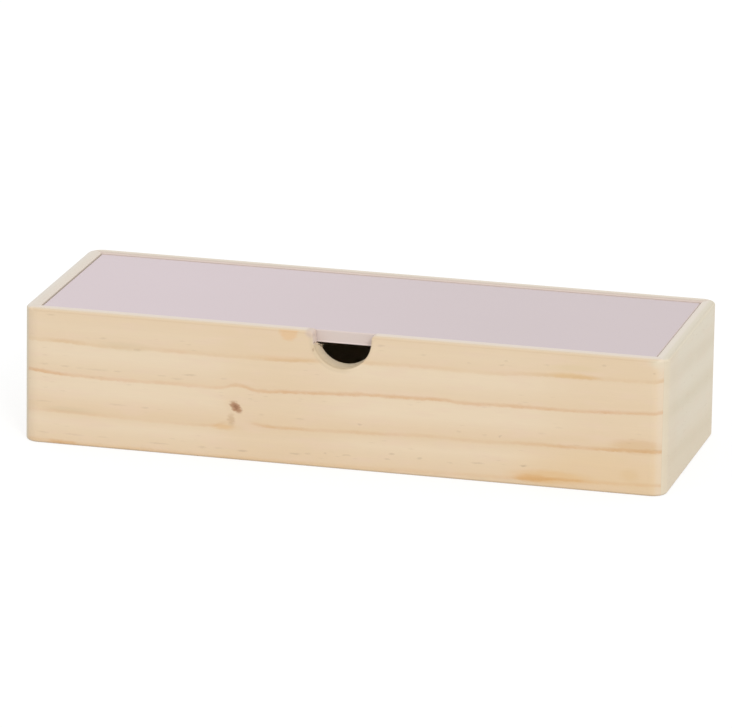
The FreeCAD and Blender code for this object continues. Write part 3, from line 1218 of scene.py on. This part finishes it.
@dataclass
class TornFibres:
    """Splinters that the saw left standing in the notch, where it tore the fibres of its left cheek.

    Attributes:
        roots: Where each stands: along the box, across it and up.
        length: How long the longest are.
        least: The shortest's share of that length.
        radius: Their radius at the root.
        tip: Their radius at the tip.
        lean_from: The least that each is turned about X, Y and Z, in radians.
        lean_to: The most that each is turned.
        seed: Shifts their random lengths and leanings.
        colour: Colour of the torn wood.
    """

    roots: tuple[Place, ...] = (
        (-12.3, -45.3, 55.0), (-12.1, -45.6, 54.6), (-11.9, -45.3, 54.2), (-12.4, -46.6, 55.1),
        (-13.0, -50.6, 56.9), (-13.1, -52.6, 57.3), (-13.2, -53.6, 57.7),
    )
    length: float = 1.9
    least: float = 0.45
    radius: float = 0.28
    tip: float = 0.03
    lean_from: Place = (-0.35, 1.05, -0.4)
    lean_to: Place = (0.35, 1.75, 0.4)
    seed: int = 7
    colour: Colour = paint(226, 206, 178)

    def build(self) -> bpy.types.Object:
        """Grow the splinters at their roots.

        Returns:
            The piece.
        """
        mesh = bpy.data.meshes.new("notch_fibres")
        mesh.from_pydata([Vector(root) * MM for root in self.roots], [], [])
        piece = bpy.data.objects.new("notch_fibres", mesh)
        bpy.context.scene.collection.objects.link(piece)
        tree = self.splinter_tree(BareWood("torn_pine", self.colour, Run.LENGTHWISE).material())
        modifier = piece.modifiers.new("splinters", "NODES")
        modifier.node_group = tree
        sizes = {"Length": self.length * MM, "Radius": self.radius * MM, "Seed": self.seed}
        for item in tree.interface.items_tree:
            if item.name in sizes:
                modifier[item.identifier] = sizes[item.name]
        seen = piece.evaluated_get(bpy.context.evaluated_depsgraph_get())
        piece.data = bpy.data.meshes.new_from_object(seen)
        piece.modifiers.clear()
        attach(piece, "box")
        log.info("%s stands in the notch, %d splinters", piece.name, len(self.roots))
        return piece

    def splinter_tree(self, material: bpy.types.Material) -> bpy.types.NodeTree:
        """Make the tree that stands a leaning, tapered splinter on each point.

        Args:
            material: The splinters' material.

        Returns:
            The tree.
        """
        tree = bpy.data.node_groups.new("splinters", "GeometryNodeTree")
        kinds = {"Geometry": "Geometry", "Length": "Float", "Radius": "Float", "Seed": "Int"}
        for name, kind in kinds.items():
            tree.interface.new_socket(name, in_out="INPUT", socket_type="NodeSocket" + kind)
        tree.interface.new_socket("Geometry", in_out="OUTPUT", socket_type="NodeSocketGeometry")
        recipe = Recipe(tree)
        given = recipe.node("NodeGroupInput")
        seed = given.output("Seed")
        points = recipe.node("GeometryNodeMeshToPoints", inputs={"Mesh": given})
        sliver = recipe.node("GeometryNodeMeshCone", inputs={
            "Vertices": 6, "Side Segments": 5, "Radius Top": self.tip * MM,
            "Radius Bottom": given.output("Radius"), "Depth": given.output("Length")})
        lean = recipe.node("FunctionNodeRandomValue", {"data_type": "FLOAT_VECTOR"}, {
            0: self.lean_from, 1: self.lean_to, "Seed": seed})
        size = recipe.node("FunctionNodeRandomValue", {"data_type": "FLOAT"}, {
            2: self.least, 3: 1.0, "Seed": seed})
        stood = recipe.node("GeometryNodeInstanceOnPoints", inputs={
            "Points": points, "Instance": sliver, "Rotation": lean, "Scale": size.output(1)})
        whole = recipe.node("GeometryNodeRealizeInstances", inputs={0: stood})
        dressed = recipe.node("GeometryNodeSetMaterial", inputs={"Geometry": whole, "Material": material})
        recipe.node("NodeGroupOutput", inputs={0: dressed})
        return tree


@dataclass
class Bottom:
    """The panel in the grooves of the walls."""

    wood: BareWood = BareWood("plywood", paint(222, 202, 170), Run.LENGTHWISE)

    def dress(self) -> None:
        """Give the panel its finish."""
        dress(self.wood, "bottom_panel")


@dataclass
class Lid:
    """The painted panel that lies on the rebates."""

    paint: Paint = Paint(
        name="painted_lid",
        colour=paint(215, 200, 204),
        far_colour=paint(208, 194, 196),
        edge=Tinge(paint(217, 202, 194), 0.9, (0.6, 0.1)),
        # The lower arris carries a painted highlight
        arris=Tinge(paint(243, 231, 232), 0.8, (1.1, 0.5)),
        half=(HALF_LENGTH - RIM_THICKNESS - LID_PLAY, HALF_WIDTH - RIM_THICKNESS - LID_PLAY),
        foot=SEAT_LEVEL,
    )

    def dress(self) -> None:
        """Give the panel its paint."""
        dress(self.paint, "lid_panel")


@dataclass
class Studio:
    """A pale floor, a white surround, one soft lamp, and the camera where the photograph was taken from.

    Attributes:
        azimuth: How far round to the right the camera stands, in degrees.
        elevation: How far above the horizon, in degrees.
        roll: How far the camera leans, in degrees.
        distance: How far back it stands from the box, in metres.
        aside: How far it stands off its line, to the right and up, in metres.
        lens: Focal length in millimetres, for a sensor as wide as the image.
        sensor: The sensor's width in millimetres.
        sight: How far the camera sees, in metres.
        surround: How bright the surround is to the box and the floor.
        key_strength: How bright the lamp is.
        key_azimuth: How far round to the right the lamp hangs, in degrees.
        key_elevation: How far above the horizon it hangs, in degrees.
        key_softness: How wide the lamp looks from the box, in degrees.
        floor_reach: How far the floor reaches each way, in metres.
        floor_colour: The floor's colour.
        floor_glow: How bright the floor's own light is, which only the camera sees.
        glow_share: How much of the floor's look is that light.
    """

    azimuth: float = 14.183
    elevation: float = 15.795
    roll: float = 0.918
    distance: float = 3.22874
    aside: Point = (-0.00241, 0.033278)
    lens: float = 345.30
    sensor: float = 36.0
    sight: float = 100.0
    surround: float = 0.86
    key_strength: float = 0.86
    key_azimuth: float = 31.0
    key_elevation: float = 30.0
    key_softness: float = 14.0
    floor_reach: float = 14.0
    floor_colour: Colour = (0.72, 0.72, 0.72, 1.0)
    floor_glow: float = 1.25
    glow_share: float = 0.6

    def direction(self, azimuth: float, elevation: float) -> Vector:
        """Point from the box towards a place round it.

        Args:
            azimuth: How far round to the right of the front, in degrees.
            elevation: How far above the horizon, in degrees.

        Returns:
            A vector one unit long.
        """
        turn, climb = math.radians(azimuth), math.radians(elevation)
        return Vector((math.sin(turn) * math.cos(climb), -math.cos(turn) * math.cos(climb), math.sin(climb)))

    def place_camera(self) -> None:
        """Put the camera where the photograph's was."""
        back = self.direction(self.azimuth, self.elevation)
        turn, lean = math.radians(self.azimuth), math.radians(self.roll)
        right = Vector((math.cos(turn), math.sin(turn), 0.0))
        up = back.cross(right)
        place = back * self.distance + right * self.aside[0] + up * self.aside[1]
        leaning_right = right * math.cos(lean) + up * math.sin(lean)
        leaning_up = up * math.cos(lean) - right * math.sin(lean)
        turned = Matrix((leaning_right, leaning_up, back)).transposed().to_4x4()
        data = bpy.data.cameras.new("camera")
        data.lens = self.lens
        data.sensor_width = self.sensor
        data.clip_end = self.sight
        camera = bpy.data.objects.new("camera", data)
        camera.matrix_world = Matrix.Translation(place) @ turned
        bpy.context.scene.collection.objects.link(camera)
        bpy.context.scene.camera = camera

    def hang_lamp(self) -> None:
        """Hang the one soft lamp."""
        data = bpy.data.lights.new("key", "SUN")
        data.energy = self.key_strength
        data.angle = math.radians(self.key_softness)
        lamp = bpy.data.objects.new("key", data)
        lamp.rotation_mode = "QUATERNION"
        towards = self.direction(self.key_azimuth, self.key_elevation)
        lamp.rotation_quaternion = towards.to_track_quat("Z", "Y")
        bpy.context.scene.collection.objects.link(lamp)

    def light_surround(self) -> None:
        """Surround the box with even white light, which the camera sees as plain white."""
        world = bpy.data.worlds.new("surround")
        world.use_nodes = True
        recipe = Recipe(world.node_tree)
        seen = recipe.node("ShaderNodeLightPath").output("Is Camera Ray")
        strength = seen * (1.0 - self.surround) + self.surround
        light = recipe.node("ShaderNodeBackground", inputs={"Color": WHITE, "Strength": strength})
        recipe.node("ShaderNodeOutputWorld", inputs={"Surface": light})
        bpy.context.scene.world = world

    def lay_floor(self) -> None:
        """Lay the floor, white to the camera where no shadow falls."""
        reach = self.floor_reach
        mesh = bpy.data.meshes.new("floor")
        corners = [(-reach, -reach, 0.0), (reach, -reach, 0.0), (reach, reach, 0.0), (-reach, reach, 0.0)]
        mesh.from_pydata(corners, [], [(0, 1, 2, 3)])
        floor = bpy.data.objects.new("floor", mesh)
        bpy.context.scene.collection.objects.link(floor)
        material = new_material("floor_white")
        recipe = Recipe(material.node_tree)
        matt = recipe.node("ShaderNodeBsdfDiffuse", inputs={"Color": self.floor_colour})
        glow = recipe.node("ShaderNodeEmission", inputs={"Color": WHITE, "Strength": self.floor_glow})
        seen = recipe.node("ShaderNodeLightPath").output("Is Camera Ray")
        mixed = recipe.node("ShaderNodeMixShader", inputs={0: seen * self.glow_share, 1: matt, 2: glow})
        recipe.node("ShaderNodeOutputMaterial", inputs={"Surface": mixed})
        mesh.materials.append(material)

    def build(self) -> None:
        """Set up the studio."""
        self.place_camera()
        self.hang_lamp()
        self.light_surround()
        self.lay_floor()


def main() -> None:
    """Build the scene in order."""
    logging.basicConfig(level=logging.INFO, format="%(name)s: %(message)s")
    scene = bpy.context.scene
    scene.view_settings.view_transform = "Standard"
    Studio().build()
    Carcass().dress()
    TornFibres().build()
    Bottom().dress()
    Lid().dress()


if __name__ == "__main__":
    main()
